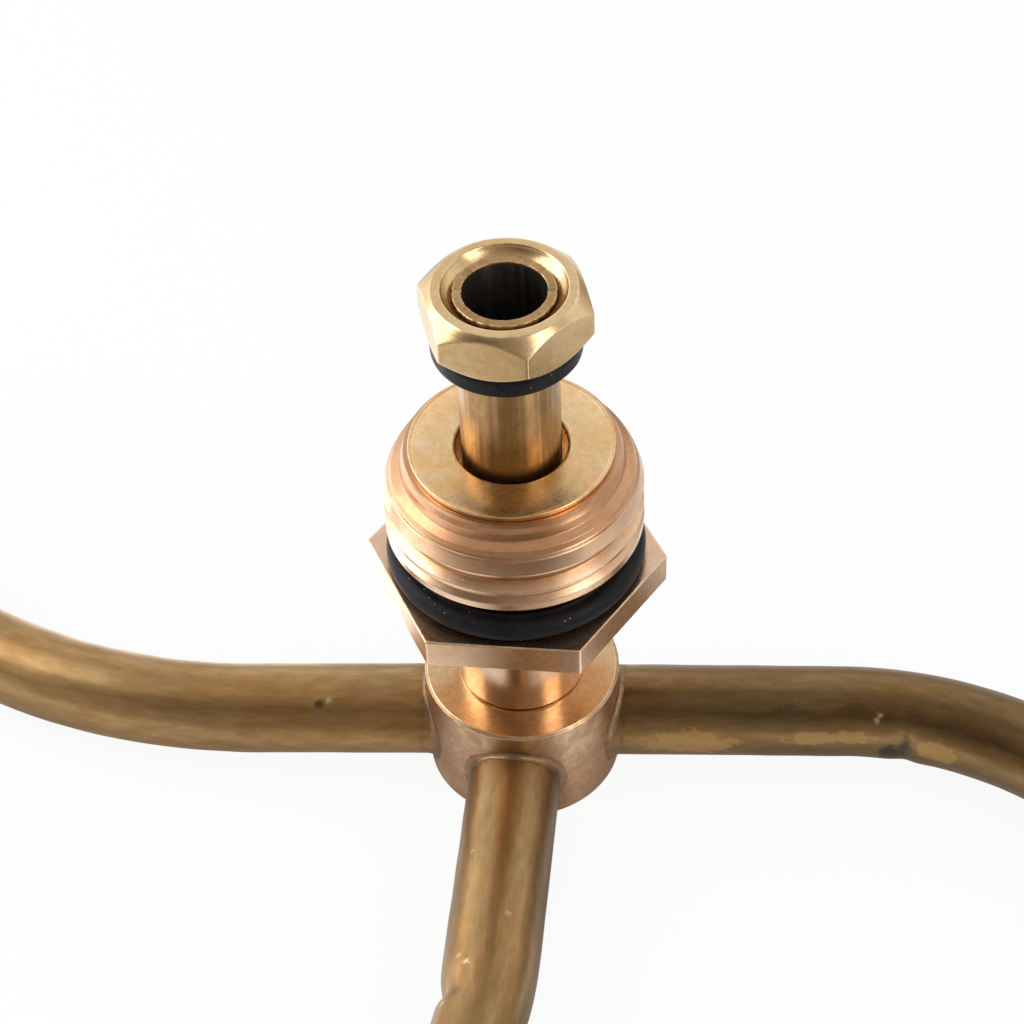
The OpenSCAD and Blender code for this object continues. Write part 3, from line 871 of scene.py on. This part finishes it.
class AddBush(SprayHeadOperator, bpy.types.Operator):
    """Adds the flanged bush whose face the washer seals on"""

    bl_idname = "spray_head.add_bush"
    bl_label = "Bearing bush"

    def execute(self, context):
        _, finish = self.settings(context)
        inner, entry, entry_z = TUBE_R + RUN_GAP, TUBE_R + ENTRY_GAP, FACE_TOP - 4 * MM
        under = FLANGE_SEAT + SEAT_GAP
        rows = rounded([
            (inner, BUSH_BOTTOM, 0), (SLEEVE_R, BUSH_BOTTOM, 0.2 * MM), (SLEEVE_R, under, 0),
            (FLANGE_R, under, 0.08 * MM), (FLANGE_R, FACE_TOP, 0.12 * MM), (FLANGE_R - 0.3 * MM, FACE_TOP, 0),
            (FLANGE_R - 0.42 * MM, FACE_TOP - 0.06 * MM, 0), (FLANGE_R - 0.6 * MM, FACE_TOP - 0.01 * MM, 0),
            (entry + 1.6 * MM, FACE_TOP, 0), (entry, FACE_TOP, 0.5 * MM), (entry, entry_z, 0),
            (inner, entry_z, 0),
        ], loop=True, steps=7)
        points, wear = turned(rows, even_angles(300))
        radius = from_axis(points)
        # painted shade in the rim's groove, on the front side only
        front = np.clip(-points[..., 1] / radius, 0, 1)
        rim = bump_at(radius, FLANGE_R - 0.5 * MM, 0.22 * MM) * (points[..., 2] > FACE_TOP - 0.2 * MM)
        make_piece("bush_flanged", points, finish, "fitting", "bearing_bush", "bush_brass",
                   {"wear": wear, "stain_and_shade": 0.55 * rim * front})
        return {"FINISHED"}


class AddRing(SprayHeadOperator, bpy.types.Operator):
    """Adds the O-ring on the hexagon's upper face"""

    bl_idname = "spray_head.add_ring"
    bl_label = "O-ring"

    def execute(self, context):
        _, finish = self.settings(context)
        section = (RING_TOP - RING_BOTTOM) / 2
        middle, centre_z, flash = RING_R - section, RING_BOTTOM + section, 0.02 * MM
        rows = []
        for turn in even_angles(40):
            reach = section - flash + flash * float(bump_at(turn, TAU / 8, 0.12))
            rows.append((middle + reach * math.cos(turn), centre_z + reach * math.sin(turn), 0))
        points, _ = turned(rows, even_angles(256))
        make_piece("o_ring_moulded", points, finish, "fitting", "flange_o_ring", "rubber")
        return {"FINISHED"}


# Marks on the arms; each starts with the distance along the arm in millimetres and, apart from the
# creases, which lie on the inside of the bends, the angle round the tube in degrees.
# Creases: depth, length before and length after
CREASES = {"right": [(42.6, 0.45, 1.3, 1.0)], "front": [(39.2, 0.62, 2.2, 0.8)]}
# Patches of gold scale and dark spots: length, width in radians
SCALES = {"right": [(18.4, 178, 5.6, 0.40), (31.2, 166, 2.4, 0.20), (36.4, 164, 2.4, 0.20),
                    (46.5, 172, 2.8, 0.30)]}
SPOTS = {"left": [(22.1, 56, 0.8, 0.12)], "right": [(40.5, 190, 1.6, 0.4)]}
NICK_SIZE = (0.26, 0.055)
NICKS = {"left": [(21.2, 60)], "right": [(38.8, 139), (39.2, 133)],
         "front": [(35.4, 127), (41.0, 140), (30.4, 72), (22.6, 126), (36.2, 116), (36.6, 110)]}
ARM_SEEDS = {"left": 11, "right": 12, "front": 13}
BRAZE_SEEDS = {"left": 41, "right": 42, "front": 43}


def patches(marks, s, a):
    """Soft patches at distances along an arm and angles round it."""
    total = np.zeros(s.shape)
    for at, turn, length, width in marks:
        off = np.abs(signed_angle(a - math.radians(turn)))
        total += bump_at(s, at * MM, length * MM) * bump_at(off, 0, width)
    return total


def arm_shade_and_tarnish(name, s, a):
    """How much darker an arm is, by the distance along it and the angle round it: painted shade on the sides
    that face away from the light and over the whole right arm, which also has a real tide line of tarnish.
    """
    signed = signed_angle(a)
    side, degrees = np.degrees(np.abs(signed)), np.degrees(a)
    if name == "left":
        return 0.05 + 0.16 * bump_at(np.degrees(signed), 20, 18)
    if name == "front":
        return (0.08 + 0.6 * (1 - smooth_step(side, 14, 58)) + 0.3 * smooth_step(side, 140, 160)
                + 0.24 * bump_at(degrees, 114, 12))
    humps = 12 * bump_at(s, 28.8 * MM, 1.8 * MM) + 14 * bump_at(s, 36.4 * MM, 2.2 * MM)
    edge = 131 - humps - 1.5 * np.sin(s / (0.9 * MM))
    tide = smooth_step(degrees, edge, edge + math.degrees(0.05)) * smooth_step(s, 20 * MM, 24 * MM)
    more = 0.24 * smooth_step(degrees, 95, 108) + 0.14 * tide - 0.44 * smooth_step(degrees, 132, 154)
    more += 0.22 * smooth_step(degrees, 164, 186)
    return 0.56 + more * (1 - smooth_step(degrees, 215, 270))


class AddArms(SprayHeadOperator, bpy.types.Operator):
    """Adds the three bent spray arms and the braze fillets that hold them in the hub"""

    bl_idname = "spray_head.add_arms"
    bl_label = "Spray arms"

    def radius(self, name, bend_at, s, a):
        """Radius of an arm's outside, which bending has dented and flattened."""
        inside = np.abs(signed_angle(a - math.pi))
        bent = smooth_step(s, bend_at - 2 * MM, bend_at + 8 * MM)
        radius = TUBE_R - bent * 0.03 * MM * (1 + np.cos(2 * a))
        for at, depth, before, after in CREASES.get(name, ()):
            reach = np.where(s < at * MM, before * MM, after * MM)
            radius -= depth * MM * bump_at(s, at * MM, reach) * bump_at(inside, 0, 0.85)
        rng = random.Random(ARM_SEEDS[name])
        for k in range(8):
            wave = (k + 1) * s / (7 * MM) + (k % 4) * a + rng.uniform(0, TAU)
            radius -= 0.005 * MM * (1 + np.sin(wave))
        if name == "front":
            radius -= 0.7 * MM * bump_at(s, 44 * MM, 6 * MM) * bump_at(np.cos(a), 1, 0.8)
        return np.minimum(radius, TUBE_R)

    def tube(self, name, arm, shape, finish):
        start = HUB_R - 4.25 * MM
        outer_s = np.linspace(start, shape.arm_length, 260)
        inner_s = np.linspace(shape.arm_length, start, 24)
        s, a = np.meshgrid(np.concatenate([outer_s, inner_s]), even_angles(112), indexing="ij")
        radius = self.radius(name, arm[1], s, a)
        radius[len(outer_s):] = shape.bore / 2
        centre, _, outward = arm_point(arm, s)
        across, up = radius * np.cos(a), radius * np.sin(a)
        points = np.stack([centre[..., 0] + outward[..., 0] * across,
                           centre[..., 1] + outward[..., 1] * across, shape.arm_height + up], axis=-1)
        tube_point = np.stack([s + ARM_SEEDS[name] * 40 * MM, across, up], axis=-1)
        stain_and_shade = 0.4 * bump_at(s, HUB_R + 0.4 * MM, 0.8 * MM) + 0.8 * patches(SPOTS.get(name, ()), s, a)
        # painted shade in each crease
        for at, _, _, after in CREASES.get(name, ()):
            inside = np.abs(signed_angle(a - math.pi))
            stain_and_shade += 0.5 * bump_at(s, at * MM, after * MM) * bump_at(inside, 0, 0.7)
        nicks = patches([(*nick, *NICK_SIZE) for nick in NICKS[name]], s, a)
        marks = {"stain_and_shade": stain_and_shade, "scale": patches(SCALES.get(name, ()), s, a), "wear": 1.6 * nicks,
                 "shade_and_tarnish": arm_shade_and_tarnish(name, s, a), "tube_point": tube_point}
        make_piece("arm_tube_" + name, points, finish, "rotor", "arm_" + name, "arm_brass", marks, sharp=60)

    def braze(self, name, arm, shape, finish):
        angles = even_angles(120)
        width = shape.braze_width * (0.88 + 0.14 * ripple(angles, BRAZE_SEEDS[name], (2, 3, 5, 7)))
        width = np.clip(width, 0.35 * MM, 0.74 * MM)
        lip, foot, root = 0.02 * MM, TUBE_R + 0.02 * MM, -0.12 * MM
        rows = [(foot + width * (1 - t) ** 2, lip + width * t ** 2) for t in np.linspace(0, 1, 9)]
        rows += [(TUBE_R - 0.08 * MM, lip + width), (TUBE_R - 0.08 * MM, root), (foot + width, root)]
        turn = arm[0]
        points = []
        for reach, out in rows:
            side, up = reach * np.cos(angles), reach * np.sin(angles)
            ahead = np.sqrt(HUB_R ** 2 - side ** 2) + out
            points.append(np.stack([ahead * math.cos(turn) - side * math.sin(turn),
                                    ahead * math.sin(turn) + side * math.cos(turn),
                                    shape.arm_height + up], axis=-1))
        make_piece("braze_fillet_" + name, np.array(points), finish, "rotor", "braze_" + name, "braze_metal",
                   sharp=60)

    def execute(self, context):
        shape, finish = self.settings(context)
        for name, arm in ARMS.items():
            self.tube(name, arm, shape, finish)
            self.braze(name, arm, shape, finish)
        return {"FINISHED"}


class AddTips(SprayHeadOperator, bpy.types.Operator):
    """Adds the ferrule and the screwed-in jet on the end of each arm"""

    bl_idname = "spray_head.add_tips"
    bl_label = "Spray tips"

    def ferrule(self, name, arm, shape, finish):
        outer, socket, thread = 5.75 * MM, TUBE_R + 0.12 * MM, STEM_R + JOINT_GAP
        grip, nose = shape.ferrule_grip, shape.ferrule_nose
        rows = rounded([
            (socket, -grip, 0.05 * MM), (outer, -grip, 0.4 * MM), (outer, nose, 0.4 * MM),
            (thread, nose, 0.05 * MM), (thread, SEAT_GAP, 0), (socket, SEAT_GAP, 0),
        ], loop=True)
        points, wear = turned(rows, even_angles(128))
        stain_and_shade = bump_at(points[..., 2], -grip, 0.7 * MM) * 0.5
        make_piece("ferrule_turned_" + name, on_arm_end(arm, points, shape), finish, "rotor",
                   "ferrule_" + name, "tip_brass", {"wear": wear, "stain_and_shade": stain_and_shade})

    def jet(self, name, arm, shape, finish):
        angles = corner_angles(TAU / 4, 120, math.radians(4))
        hexagon = hexagon_radius(angles, 9 * MM, TAU / 4, 0.2 * MM)
        hole, feed, tip_r = 0.9 * MM, 2.6 * MM, 2.3 * MM
        end, inner = shape.ferrule_nose - 4 * MM, shape.ferrule_nose - 0.1 * MM
        low = shape.ferrule_nose + SEAT_GAP
        high = low + 2.6 * MM
        tip = high + 2.6 * MM
        rows = [(hole, inner, 0), (feed, inner, 0), (feed, end, 0), (STEM_R, end, 0), (STEM_R, low, 0),
                (STEM_R + 0.3 * MM, low, 0)]
        edge = [(0.2, 0, 0), (0.1, 0, 1), (0.02, 0.03, 1), (0, 0.1, 1), (0, 0.2, 0)]
        rows += [(hexagon - inset * MM, low + rise * MM, wear) for inset, rise, wear in edge]
        rows += [(hexagon - inset * MM, high - rise * MM, wear) for inset, rise, wear in reversed(edge)]
        rows += rounded([(4.34 * MM, high, 0), (4.3 * MM, high + 0.01 * MM, 0), (tip_r, tip, 0.15 * MM),
                         (hole, tip, 0.1 * MM), (hole, high, 0)], loop=False)
        points, wear = turned(rows, angles)
        make_piece("jet_screwed_" + name, on_arm_end(arm, points, shape), finish, "rotor", "jet_" + name,
                   "tip_brass", {"wear": wear})

    def execute(self, context):
        shape, finish = self.settings(context)
        for name, arm in ARMS.items():
            self.ferrule(name, arm, shape, finish)
            self.jet(name, arm, shape, finish)
        return {"FINISHED"}


# ---------------------------------------------------------------- studio

CAMERA_LENS = 89.862
CAMERA_RIGHT = (0.998901, -0.0333387, -0.0329437)
CAMERA_UP = (0.0468572, 0.7264887, 0.685579)
CAMERA_PLACE = (0, -178.7556, 227.0349)   # millimetres
WHITE = (1, 1, 1, 1)
FLOOR_GREY = (0.9, 0.9, 0.9, 1)
FLOOR_SIDE = 3.0
WORLD_FILL = 0.7
LAMP_TARGET = (0, 0, 0.03)
LAMP_RADIANCE = 2.6
DOME_REACH = 560                          # millimetres
CARD_HEIGHT = 0.2                         # millimetres over the floor
# Brightness of the floor in reflections as (degrees from the front, the left being negative; brightness)
FLOOR_GLOW = [
    (-180, 0.9), (-165, 0.7), (-152, 1.05), (-130, 2.0), (-110, 2.4), (-92, 2.4), (-78, 1.8), (-62, 1.15),
    (-42, 0.75), (-24, 0.48), (-6, 0.36), (11, 0.33), (25, 0.44), (40, 0.9), (54, 1.6), (68, 1.1),
    (84, 0.75), (92, 0.75), (118, 0.95), (150, 0.95), (180, 1.0),
]
# The part of the floor in front, by distance from the axis in millimetres
AHEAD_GLOW = [(10, 1.4), (25, 1.5), (37, 2.5), (42, 2.0), (47, 1.0), (57, 1.0), (63, 1.4), (80, 1.4),
              (100, 0.62), (140, 0.5)]
# The sky in front, by degrees to either side, and the sky behind, by height in degrees
FRONT_GLOW = [(0, 0.46), (30, 0.48), (60, 0.58), (85, 0.7), (95, 0.9), (180, 0.9)]
REAR_GLOW = [(0, 0.6), (12, 0.85), (27, 1.35), (42, 0.95), (67, 0.75), (90, 0.62)]
WARM = (1.0, 0.80, 0.60)
PALE = 0.9   # brightness from which a card is white, as darker places are warm


def empty_tree(holder):
    holder.use_nodes = True
    holder.node_tree.nodes.clear()
    return holder.node_tree


def emission(tree, colour):
    return add(tree, "ShaderNodeEmission", {"Color": colour, "Strength": 1.0}).outputs[0]


def seen(tree):
    """1 for the rays of the camera, of gloss and of glass."""
    rays = add(tree, "ShaderNodeLightPath").outputs
    first = plus(tree, rays["Is Camera Ray"], rays["Is Glossy Ray"])
    total = add(tree, "ShaderNodeMath", {0: first, 1: rays["Is Transmission Ray"]}, operation="ADD",
                use_clamp=True)
    return total.outputs[0]


class AddStage(SprayHeadOperator, bpy.types.Operator):
    """Adds the camera, the pale floor, the soft lights and the cards that shape the reflections"""

    bl_idname = "spray_head.add_stage"
    bl_label = "Stage"

    def camera(self):
        lens = bpy.data.cameras.new("camera")
        lens.sensor_fit = "HORIZONTAL"
        lens.sensor_width = 36.0
        lens.lens = CAMERA_LENS
        lens.clip_start, lens.clip_end = 0.01, 30.0
        right, up = Vector(CAMERA_RIGHT), Vector(CAMERA_UP)
        place = Matrix((right, up, right.cross(up))).transposed().to_4x4()
        place.translation = Vector(CAMERA_PLACE) * MM
        camera = link_object("camera", lens)
        camera.matrix_world = place
        bpy.context.scene.camera = camera

    def pale_world(self):
        world = bpy.data.worlds.new("studio")
        bpy.context.scene.world = world
        tree = empty_tree(world)
        white = add(tree, "ShaderNodeBackground", {"Color": WHITE, "Strength": 1.0}).outputs[0]
        fill = add(tree, "ShaderNodeBackground", {"Color": WHITE, "Strength": WORLD_FILL}).outputs[0]
        mixed = add(tree, "ShaderNodeMixShader", {0: seen(tree), 1: fill, 2: white}).outputs[0]
        add(tree, "ShaderNodeOutputWorld", {"Surface": mixed})

    def floor(self):
        side = FLOOR_SIDE
        mesh = bpy.data.meshes.new("floor")
        mesh.from_pydata([(-side, -side, 0), (side, -side, 0), (side, side, 0), (-side, side, 0)], [],
                         [(0, 1, 2, 3)])
        material = bpy.data.materials.new("pale_floor")
        tree = empty_tree(material)
        plain = add(tree, "ShaderNodeBsdfDiffuse", {"Color": FLOOR_GREY}).outputs[0]
        share = times(tree, seen(tree), 0.92)
        mixed = add(tree, "ShaderNodeMixShader", {0: share, 1: plain, 2: emission(tree, WHITE)}).outputs[0]
        add(tree, "ShaderNodeOutputMaterial", {"Surface": mixed})
        mesh.materials.append(material)
        floor = link_object("floor", mesh)
        floor.location.z = -0.02 * MM

    def softbox(self, name, place, size):
        light = bpy.data.lights.new(name, "AREA")
        light.shape = "RECTANGLE"
        light.size, light.size_y = size
        light.energy = LAMP_RADIANCE * math.pi * size[0] * size[1]
        lamp = link_object(name, light)
        lamp.location = place
        lamp.rotation_euler = (Vector(LAMP_TARGET) - Vector(place)).to_track_quat("-Z", "Y").to_euler()
        lamp.visible_camera = False

    def glow_card(self, name, points, level):
        """A graded card over a grid of points, rows by columns, that only reflections show."""
        mesh = bpy.data.meshes.new(name)
        mesh.from_pydata((points.reshape(-1, 3) * MM).tolist(), [], grid_quads(*level.shape, False)[1])
        share = np.clip(level / PALE, 0, 1)[..., None]
        colour = level[..., None] * (np.array(WARM) * (1 - share) + share)
        colour = np.concatenate([colour, np.ones((*level.shape, 1))], axis=-1)
        layer = mesh.attributes.new("glow", "FLOAT_COLOR", "POINT")
        layer.data.foreach_set("color", colour.astype(np.float32).ravel())
        material = bpy.data.materials.new(name)
        tree = empty_tree(material)
        glow = add(tree, "ShaderNodeAttribute", attribute_name="glow").outputs["Color"]
        add(tree, "ShaderNodeOutputMaterial", {"Surface": emission(tree, glow)})
        material.cycles.emission_sampling = "NONE"
        mesh.materials.append(material)
        card = link_object(name, mesh)
        for ray in ("camera", "diffuse", "shadow", "transmission"):
            setattr(card, "visible_" + ray, False)

    def floor_card(self, shape):
        """The floor in reflections, with a painted shadow under the arms and painted shade in front of them.
        """
        rings = [10.3, 12, 14, 17, 20, 24, 29, 35, 41, 46, 51, 57, 63, 72, 80, 90, 110, 140, 200, 300, 540]
        radius, angle = np.meshgrid(rings, np.arange(-180, 180, 4.0), indexing="ij")
        x, y = radius * np.sin(np.radians(angle)), -radius * np.cos(np.radians(angle))
        level = np.interp(angle, *zip(*FLOOR_GLOW))
        ahead = 1 - smooth_step(np.abs(angle), 40, 75)
        level *= 1 + (np.interp(radius, *zip(*AHEAD_GLOW)) - 1) * ahead
        for name, arm in ARMS.items():
            centre = arm_point(arm, np.linspace(0, shape.arm_length, 80))[0] / MM
            gaps = np.hypot(x[..., None] - centre[:, 0], y[..., None] - centre[:, 1])
            gap, nearest = gaps.min(axis=-1), gaps.argmin(axis=-1)
            if name != "front":
                # painted shade in front of the side arms
                strip = (1 - smooth_step(gap, 15, 34)) * (y < centre[nearest, 1])
                level += (np.minimum(level, PALE) - level) * strip
            # painted shadow under each arm
            level *= 0.5 + 0.5 * smooth_step(gap, 3, 12)
        self.glow_card("floor_card", np.stack([x, y, np.full(x.shape, CARD_HEIGHT)], axis=-1), level)

    def sky_card(self):
        """A dome: dark round the camera, pale behind the object."""
        height, angle = np.meshgrid(np.arange(0, 91, 4.5), np.arange(-180, 180, 4.0), indexing="ij")
        front = np.interp(np.abs(angle), *zip(*FRONT_GLOW))
        rear = np.interp(height, *zip(*REAR_GLOW))
        share = np.maximum(smooth_step(np.abs(angle), 70, 125), smooth_step(height, 62, 90))
        level = front + (rear - front) * share
        level += 0.75 * bump_at(angle, -130, 28) * bump_at(height, 0, 25)
        level -= 0.35 * bump_at(angle, 140, 35) * (1 - smooth_step(height, 15, 40))
        level *= 1 - 0.78 * bump_at(angle, -38, 50) * bump_at(height, 45, 15)
        up, side = np.sin(np.radians(height)), np.cos(np.radians(height))
        points = np.stack([side * np.sin(np.radians(angle)), -side * np.cos(np.radians(angle)), up], axis=-1)
        self.glow_card("sky_card", points * DOME_REACH, level)

    def execute(self, context):
        shape, _ = self.settings(context)
        context.scene.view_settings.view_transform = "Standard"
        self.camera()
        self.pale_world()
        self.floor()
        self.softbox("softbox_left", (-0.365, 0.07, 0.26), (0.28, 0.40))
        self.softbox("softbox_right", (0.30, -0.22, 0.26), (0.16, 0.36))
        self.floor_card(shape)
        self.sky_card()
        return {"FINISHED"}


# ---------------------------------------------------------------- panel and start

OPERATORS = (AddStage, AddHub, AddFeedTube, AddLockNut, AddFitting, AddBush, AddRing, AddArms, AddTips)


class SprayHeadPanel(bpy.types.Panel):
    """Lists the pieces, the sizes and the colours"""

    bl_idname = "VIEW3D_PT_spray_head"
    bl_label = "Spray Head"
    bl_space_type = "VIEW_3D"
    bl_region_type = "UI"
    bl_category = "Spray Head"

    def draw(self, context):
        for operator in OPERATORS:
            self.layout.operator(operator.bl_idname)
        for settings in (context.scene.spray_head_shape, context.scene.spray_head_finish):
            box = self.layout.box()
            for label in settings.bl_rna.properties.keys():
                if label not in ("rna_type", "name"):
                    box.prop(settings, label)


CLASSES = (SprayHeadShape, SprayHeadFinish, *OPERATORS, SprayHeadPanel)


def register():
    for entry in CLASSES:
        bpy.utils.register_class(entry)
    bpy.types.Scene.spray_head_shape = PointerProperty(type=SprayHeadShape)
    bpy.types.Scene.spray_head_finish = PointerProperty(type=SprayHeadFinish)


def unregister():
    del bpy.types.Scene.spray_head_finish
    del bpy.types.Scene.spray_head_shape
    for entry in reversed(CLASSES):
        bpy.utils.unregister_class(entry)


def main():
    register()
    bpy.ops.spray_head.add_stage()
    bpy.ops.spray_head.add_hub()
    bpy.ops.spray_head.add_feed_tube()
    bpy.ops.spray_head.add_lock_nut()
    bpy.ops.spray_head.add_fitting()
    bpy.ops.spray_head.add_bush()
    bpy.ops.spray_head.add_ring()
    bpy.ops.spray_head.add_arms()
    bpy.ops.spray_head.add_tips()


if __name__ == "__main__":
    main()
